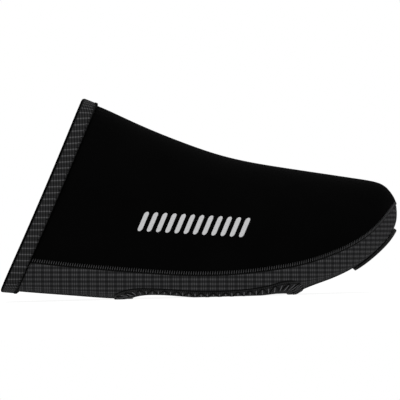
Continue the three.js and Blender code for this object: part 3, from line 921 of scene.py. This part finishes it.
def make_cuff():
    """The U carried round the collar. Each point is averaged with its neighbours along the ring a
    few times, so the tape runs smoothly over the seam. The ring starts in the middle of the
    floor, where the map's own seam doesn't show. The map is turned by the collar's lean, so that
    the light picks lie level, and it starts from the outer seam."""
    profile = cuff_profile()
    depth, offset = profile[None, :, 0], profile[None, :, 1]
    loops, count_under = [], 150
    for surface, v in round_collar(200, count_under):
        u = station_at_depth(surface, v[:, None], offset, depth)
        loops.append(placed(surface, u, v[:, None], offset))
    outer_seam = count_under // 2
    points = np.roll(np.concatenate(loops), outer_seam, 0)
    for _ in range(PASSES):
        points = (np.roll(points, 1, 0) + 2 * points + np.roll(points, -1, 0)) / 4
    tangent = unit(np.roll(points[:, :1], -1, 0) - np.roll(points[:, :1], 1, 0))
    points, tangent = np.concatenate([points, points[:1]]), np.concatenate([tangent, tangent[:1]])
    front_edge = points[:, :1]
    walked = seen_lengths(front_edge, 0, [0, 2], *CUFF_TURNS)
    round_it = walked - walked[outer_seam] + np.sum((points - front_edge) * tangent, -1)
    across = lengths(np.pad(profile, ((0, 0), (0, 1)))[None], 1) + 0 * round_it
    lean = COLLAR_LEAN - ROLL
    x_like = round_it * math.sin(lean) - across * math.cos(lean)
    z_like = round_it * math.cos(lean) + across * math.sin(lean)
    edge = CUFF["width"] - 0.5 * MM
    # 0 at the fold and along the front edge, which are painted dark as shade, and 1 where the tape
    # lies flat.
    face = ramp(depth, 0.9 * MM, 1.4 * MM) * ramp(depth, edge, edge - 0.4 * MM) + 0 * across
    return closed_strip("elastic_cuff", points, x_like, z_like, face)


wear(make_cuff(), "cuff", [ELASTIC])

# %% [markdown]
# ## Toe patch
# A moulded rubber patch is glued where the toe drags. It is a thin pillow: the top sheet rises
# from the rim by a short slope, with low ribs across it, and the back sheet lies on the cloth.

# %% Toe patch
PATCH = {"from": 0.812, "to": 0.945, "back": 0.150, "front": 0.230, "corner": 0.22,
         "thick": 1.3 * MM, "bevel": 1.2 * MM, "groove": 2.0 * MM, "field": 2.4 * MM,
         "rib": 1.7 * MM}


def make_patch():
    """Two grids over the same places, joined at the rim. The height over the cloth is a slope up
    from the rim, then a groove, and inside it a field of slanted ribs."""
    rows, columns = 80, 110
    share = np.linspace(0, 1, rows)[:, None]
    u = PATCH["from"] + (PATCH["to"] - PATCH["from"]) * share + np.zeros((1, columns))
    end = np.clip(1 - np.minimum(share, 1 - share) / PATCH["corner"], 0, 1)
    corner = 1 - PATCH["corner"] * (1 - np.sqrt(1 - end**2))
    span = (PATCH["back"] + (PATCH["front"] - PATCH["back"]) * share) * corner
    v = 0.5 + span * np.linspace(-1, 1, columns)[None, :]
    flat = under(u, v)
    along, across = lengths(flat, 0), lengths(flat, 1)
    from_ends = np.minimum(along, lengths(flat[::-1], 0)[::-1])
    from_sides = np.minimum(across, lengths(flat[:, ::-1], 1)[:, ::-1])
    rim = np.minimum(from_ends, from_sides)
    rise = np.sin(ramp(rim, 0, PATCH["bevel"]) * math.pi / 2)
    diagonal = across - across[:, columns // 2:columns // 2 + 1] + along
    ribs = 0.5 + 0.5 * np.cos(2 * math.pi * diagonal / PATCH["rib"])
    field = ramp(rim, PATCH["field"], PATCH["field"] + 0.4 * MM)
    groove = np.exp(-((rim - PATCH["groove"]) / (0.3 * MM))**2)
    height = GAP + PATCH["thick"] * rise - 0.22 * MM * ribs * field - 0.30 * MM * groove
    top = placed(under, u, v, height)
    back = placed(under, u, v, GAP)
    faces = grid_faces(rows, columns)
    both = np.concatenate([faces[:, ::-1], faces + rows * columns])
    return piece("toe_patch_rubber", np.stack([top, back]), both, merge=WELD)


wear(make_patch(), "toe_patch", [RUBBER])

# %% [markdown]
# ## Stitches
# The seam between upper and sole is overlocked: short threads stand side by side just above it,
# 1.08 mm apart. One stitch is a small round bar, and numpy copies it along the seam.

# %% Bars and threads
CORE = {"depth": 0.60 * MM, "radius": 0.45 * MM}


def bars(centres, length_way, out_way, length, radius, arch, taper=0.0):
    """Small round bars, arched a little outwards: seven rings of six points along length_way,
    drawn in at both ends, where a small last ring closes on its middle. With a taper a bar is
    thicker by that share at its start and thinner at its end."""
    rings, sides = 7, 6
    t = np.linspace(-1, 1, rings)
    ring = np.linspace(0, 2 * math.pi, sides, endpoint=False)
    side_way = unit(np.cross(length_way, out_way))
    thin = np.sqrt(np.clip(1 - t**6, 0, 1)) * (1 - taper * t)
    half = np.broadcast_to(length, len(centres))[:, None, None] / 2
    spine = (centres[:, None] + length_way[:, None] * t[None, :, None] * half
             + out_way[:, None] * (arch * (1 - t**2))[None, :, None])
    spread = (side_way[:, None, None] * np.cos(ring)[None, None, :, None]
              + out_way[:, None, None] * np.sin(ring)[None, None, :, None])
    points = spine[:, :, None] + spread * (radius * thin)[None, :, None, None]
    one = grid_faces(rings, sides, False, True)
    many = one[None] + (np.arange(len(centres)) * rings * sides)[:, None, None]
    return points.reshape(-1, 3), many.reshape(-1, 4)


def tube(path, out_way, radius, closed):
    """A thread of six sides along a path. Where the path is open, the radius falls to nothing at
    both ends, so the thread closes there."""
    way = np.gradient(path, axis=0)
    if closed:
        way = np.roll(path, -1, 0) - np.roll(path, 1, 0)
    side_way = unit(np.cross(way, out_way))
    up_way = unit(np.cross(side_way, way))
    ring = np.linspace(0, 2 * math.pi, 6, endpoint=False)[None, :, None]
    thin = np.ones(len(path)) if closed else np.sqrt(1 - np.linspace(-1, 1, len(path))**60)
    spread = side_way[:, None] * np.cos(ring) + up_way[:, None] * np.sin(ring)
    points = path[:, None] + radius * thin[:, None, None] * spread
    return points, grid_faces(len(path), 6, closed, True)


def make_seam_core():
    """The turned-in seam allowance: a thread that fills the 0.3 mm between upper and sole from
    inside, all the way round the toe, so that no light comes through the seam."""
    start = station_at_depth(over, 0, 0, 2.0 * MM)
    u = start + (1 - start) * (1 - (1 - np.linspace(0, 1, 260))**1.4)
    paths, outs = [], []
    for v_edge in (0.0, 1.0):
        middle = (over(u, v_edge) + under(u, v_edge)) / 2
        out = unit(outward(over, u, v_edge) + outward(under, u, v_edge))
        paths.append(middle - out * CORE["depth"])
        outs.append(out)
    points, faces = tube(round_nose(*paths), round_nose(*outs), CORE["radius"], False)
    return piece("seam_core", points, faces, merge=FINE_WELD)


wear(make_seam_core(), None, [BLACK_THREAD])

# %% Seam stitches
SEAM_PITCH, SEAM_RISE = 1.08 * MM, 1.05 * MM
SEAM_BAR = {"length": 1.8 * MM, "radius": 0.17 * MM, "arch": 0.15 * MM, "taper": 0.5}


def seam_line(surface, v_edge, pitch, first, last):
    """Places evenly spaced by pitch along a seam edge, as u values."""
    u = np.linspace(first, last, 1200)
    walked = lengths(surface(u, v_edge), 0)
    return np.interp(np.arange(0, walked[-1], pitch), walked, u)


def make_seam_stitches():
    """Bars across both seam edges, on the upper's side of the seam, from the cuff to the nose."""
    centres, ways, outs = [], [], []
    for v_edge in (0.0, 1.0):
        start = station_at_depth(over, v_edge, 0, 8.2 * MM)
        u = seam_line(over, v_edge, SEAM_PITCH, start, 0.9995 - 0.003 * v_edge)
        place, step = over(u, v_edge), 0.01 if v_edge == 0 else -0.01
        up = unit(over(u, v_edge + step) - place)
        at_nose = ramp(u, 0.96, 0.99)[:, None]
        up = unit(up * (1 - at_nose) + np.array([-0.25, 0, 1]) * at_nose)
        out = outward(over, u, v_edge)
        centres.append(place + up * SEAM_RISE + out * 0.02 * MM)
        ways.append(up)
        outs.append(out)
    centres, ways, outs = map(np.concatenate, (centres, ways, outs))
    points, quads = bars(centres, ways, outs, **SEAM_BAR)
    return piece("seam_stitches", points, quads, merge=FINE_WELD)


wear(make_seam_stitches(), None, [THREAD])

# %% Cuff stitches
CUFF_PITCH, CUFF_INSET = 2.1 * MM, 0.9 * MM
CUFF_BAR = {"length": 1.5 * MM, "radius": 0.16 * MM, "arch": 0.05 * MM}


def make_cuff_stitches():
    """Black bars across the tape's front edge, which hold the fold shut. Their middles lie on the
    tape's outer leg, a little inside its edge, all the way round the collar."""
    deep = CUFF["width"] - CUFF_INSET
    out = GAP + CUFF["leg"]
    lines, backs, ways = [], [], []
    for surface, v in round_collar(600, 600):
        u = station_at_depth(surface, v, out, deep)
        lines.append(placed(surface, u, v, out))
        backs.append(placed(surface, station_at_depth(surface, v, out, deep - 0.5 * MM), v, out))
        ways.append(outward(surface, u, v))
    line, back, out_way = (np.concatenate(parts) for parts in (lines, backs, ways))
    walked = lengths(np.concatenate([line, line[:1]]), 0)
    count = round(walked[-1] / CUFF_PITCH)
    places = np.arange(count) * walked[-1] / count
    pick = np.searchsorted(walked[:-1], places) % len(line)
    way = unit(line[pick] - back[pick])
    points, quads = bars(line[pick], way, out_way[pick], **CUFF_BAR)
    return piece("cuff_stitches", points, quads, merge=FINE_WELD)


wear(make_cuff_stitches(), None, [BLACK_THREAD])

# %% [markdown]
# ## Looper threads on the binding
# The tape is held by a cover stitch. Its grey bars cross the tape 2.7 mm apart, and a black
# looper thread swings between them in scallops, twice as long. The bars are the same short bars
# as in the seam, and the looper thread is a thin tube with its middle line worked out as a wave.

# %% Looper threads
BAR = {"reach": 2.6 * MM, "radius": 0.24 * MM, "arch": 0.1 * MM}
LOOPER = {"wave": 5.4 * MM, "swing": 2.4 * MM, "radius": 0.34 * MM, "lift": 0.1 * MM}


def middle_line(count):
    """Places along the binding in plan, a little outside its middle, and the direction square to
    it."""
    edges, _ = opening_edges(count)
    middle = 0.36 * edges[:, :2] + 0.64 * edges[:, 2:]
    way = unit(np.roll(middle, -1, 0) - np.roll(middle, 1, 0))
    return middle, np.stack([-way[:, 1], way[:, 0]], -1)


def make_binding_bars(count):
    """Bars square across the tape."""
    middle, square = middle_line(count)
    reach = BAR["reach"] * np.array([-1, 0, 1])
    plan = middle[:, None] + square[:, None] * reach[:, None]
    ends, outs = laid_under(plan, tape_face(plan), BAR["radius"])
    way = ends[:, 2] - ends[:, 0]
    points, quads = bars(ends[:, 1], unit(way), outs[:, 1], np.linalg.norm(way, axis=-1),
                         BAR["radius"], BAR["arch"])
    points[:, 2] = np.maximum(points[:, 2], 0)
    return piece("binding_bars", points, quads, merge=FINE_WELD)


def make_binding_looper(waves):
    """The looper thread: its distance from the middle of the bars is the swing times the cosine
    of the phase, one wave for each two bars, in steps of a 16th of a wave."""
    middle, square = middle_line(waves * 16)
    swing = LOOPER["swing"] * np.cos(np.arange(waves * 16) / 16 * 2 * math.pi)
    plan = middle + square * swing[:, None]
    path, outs = laid_under(plan, tape_face(plan) + LOOPER["lift"], LOOPER["radius"])
    points, faces = tube(path, outs, LOOPER["radius"], True)
    points[..., 2] = np.maximum(points[..., 2], 0)
    return piece("binding_looper", points, faces)


waves = round(opening_edges(8)[1] / LOOPER["wave"])
wear(make_binding_bars(2 * waves), None, [LOOPS])
wear(make_binding_looper(waves), None, [BLACK_THREAD])

# %% [markdown]
# ## Reflective dashes
# Covers of this kind carry a strip of reflective print on the outer side. Here it is a plain row
# of slanted dashes of glass-bead film. Each dash is a small grid laid on the upper's own surface
# and lifted off it by the film's thickness.

# %% Reflective dashes
DASH = {"pitch": 4.15 * MM, "half_width": 1.1 * MM, "half_height": 4.3 * MM, "lift": 0.12 * MM,
        "film": 0.10 * MM, "fall": 0.087, "middle": (-2.1 * MM, 33.1 * MM)}


def make_dashes():
    """Twelve dashes with round ends, slanted like the collar. Across a dash's height, s from -1
    to 1, the half width is full up to the round end and follows a circle there."""
    count, rows, columns = 12, 14, 7
    width, height = DASH["half_width"], DASH["half_height"]
    s = np.sin(np.linspace(-1, 1, rows) * math.pi / 2)[None, :, None]
    t = np.linspace(-1, 1, columns)[None, None, :]
    k = (np.arange(count) - (count - 1) / 2)[:, None, None]
    end = width / height
    round_end = np.sqrt(1 - np.clip((np.abs(s) - 1 + end) / end, 0, 0.999)**2)
    x = k * DASH["pitch"] + t * width * round_end + s * height * math.tan(COLLAR_LEAN)
    z = s * height - DASH["fall"] * k * DASH["pitch"] + 0 * t
    side = np.stack([x, z], -1) + DASH["middle"] + SHIFT[[0, 2]]
    u = np.interp(side[..., 0], SECTIONS[:, 3] * LENGTH, AT)
    u, v = find(over, side, [0, 2], u, 0.15 + 0 * u)
    points = placed(over, u, v, DASH["lift"])
    one = grid_faces(rows, columns)[:, ::-1]
    faces = (one[None] + (np.arange(count) * rows * columns)[:, None, None]).reshape(-1, 4)
    made = piece("reflective_dashes", points, faces)
    solidify(made, DASH["film"])
    return made


wear(make_dashes(), None, [FILM])

# %% [markdown]
# ## Stage, light and camera
# The floor and the sky are plain white. The camera looks square at the outer side from far off,
# so that near and far edges keep the same scale, as in a drawing, and it is rolled by 1.5
# degrees, because the drawing stands that much off level.

# %% Stage and light


def stage_material():
    """A white acrylic shooting table, lit from below so that it shows next to no shadow."""
    made, tree, _ = new_material("lit_white_acrylic")
    shader = add(tree, "BsdfPrincipled", {
        "Base Color": linear("606060"), "Roughness": 0.9, "Specular IOR Level": 0.0,
        "Emission Color": (1, 1, 1, 1), "Emission Strength": 0.92,
    })
    add(tree, "OutputMaterial", {"Surface": shader})
    return made


def make_floor():
    """A flat white disc under the cover."""
    count, radius = 96, 1.4
    turn = np.linspace(0, 2 * math.pi, count, endpoint=False)
    rim = np.stack([np.cos(turn), np.sin(turn), 0 * turn], -1) * radius
    made = piece("floor", rim, np.arange(count)[None, :])
    made.data.materials.append(stage_material())


def area_light(name, place, aim, size, power):
    """A square lamp at a place, turned to its aim."""
    lamp = bpy.data.lights.new(name, "AREA")
    lamp.size, lamp.energy = size, power
    made = bpy.data.objects.new(name, lamp)
    made.location = place
    made.rotation_euler = (Vector(aim) - Vector(place)).to_track_quat("-Z", "Y").to_euler()
    bpy.context.scene.collection.objects.link(made)


make_floor()
world = bpy.data.worlds.new("studio")
world.use_nodes = True
sky = world.node_tree.nodes["Background"]
sky.inputs["Color"].default_value = (1, 1, 1, 1)
sky.inputs["Strength"].default_value = 1.0
bpy.context.scene.world = world
area_light("key", (-0.5, -0.9, 1.1), (0, 0, 0.03), 0.8, 4)
area_light("top", (0.3, 0.3, 1.4), (0, 0, 0.03), 1.0, 3)
print("lamps:", len(bpy.data.lights))
bpy.context.scene.view_settings.view_transform = "Standard"

# %% Camera
PIXEL, PICTURE = 0.4557 * MM, 400
CENTRE = np.array([0.92 * MM, 0, 44.1 * MM]) + SHIFT
LENS, SENSOR = 1000.0, 36.0

camera = bpy.data.objects.new("camera", bpy.data.cameras.new("camera"))
camera.data.lens, camera.data.sensor_width = LENS, SENSOR
camera.data.clip_end = 50
distance = PICTURE * PIXEL / SENSOR * LENS
camera.location = CENTRE - np.array([0, distance, 0])
camera.rotation_euler = (math.pi / 2, ROLL, 0)
bpy.context.scene.collection.objects.link(camera)
bpy.context.scene.camera = camera
print("camera", round(distance, 2), "m away")
